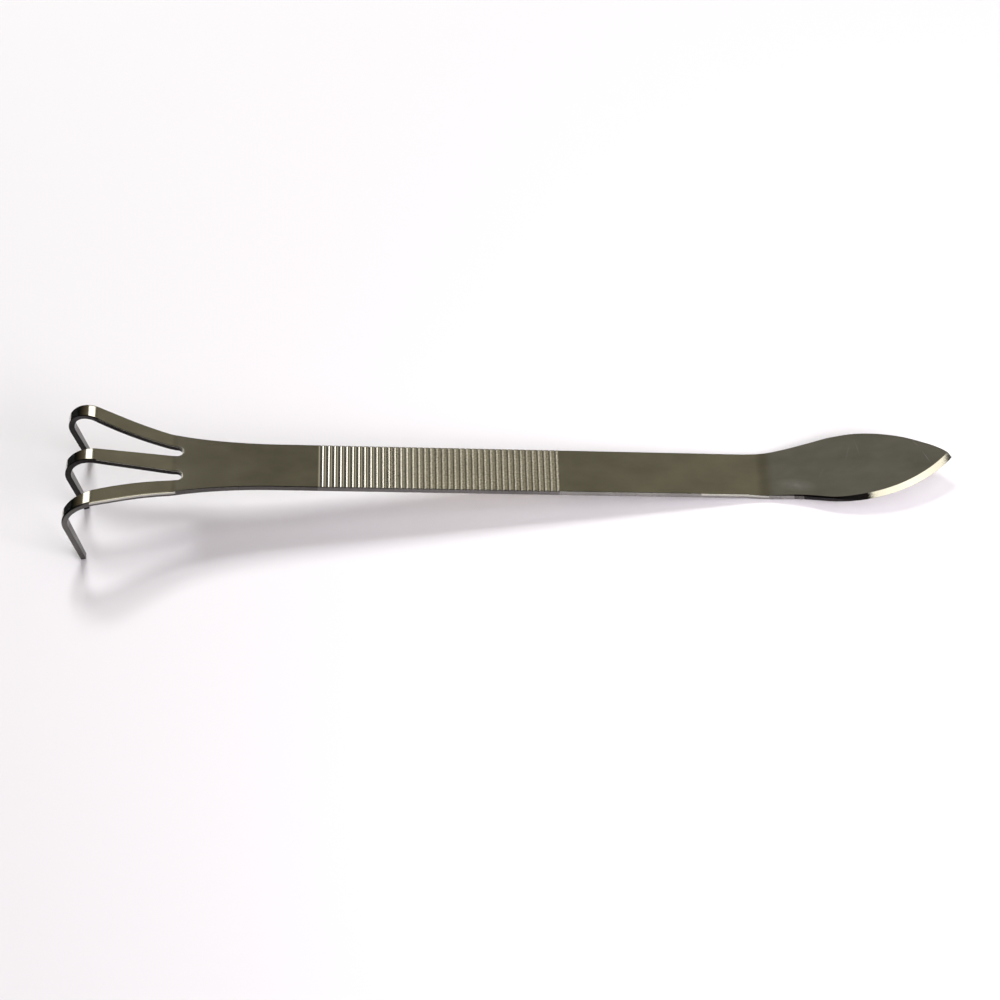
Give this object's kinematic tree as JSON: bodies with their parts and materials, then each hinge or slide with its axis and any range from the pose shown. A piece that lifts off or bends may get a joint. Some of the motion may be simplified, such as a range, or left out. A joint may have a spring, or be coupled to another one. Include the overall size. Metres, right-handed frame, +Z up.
{
  "type": "hand rake",
  "caption": "Slim hand rake folded from one steel strip: hooked tines splay from a palm at one end, a cross-ribbed grip, and a leaf-shaped spatula with ground edges at the other.",
  "frame": {"origin": "on the table under the middle of the tool's length, with the tool lying on its tine tips and on the underside of the spatula's neck", "axes": "+X runs along the tool from the tines to the spatula's tip, +Y across it, +Z up"},
  "size_m": [0.2198, 0.0342, 0.0205],
  "materials": {
    "satin_steel": "satin stainless steel with a fine grain along the tool, brighter where it is folded or ground",
    "ribbed_steel": "stainless steel pressed with narrow ribs across, with a grainy ground between their polished tops"
  },
  "bodies": {
    "root": {"left_tine": "satin_steel", "middle_tine": "satin_steel", "right_tine": "satin_steel", "rake_palm": "satin_steel", "ribbed_grip": "ribbed_steel", "plain_shank": "satin_steel", "spatula_neck": "satin_steel", "spatula_blade": "satin_steel"}
  },
  "joints": []
}
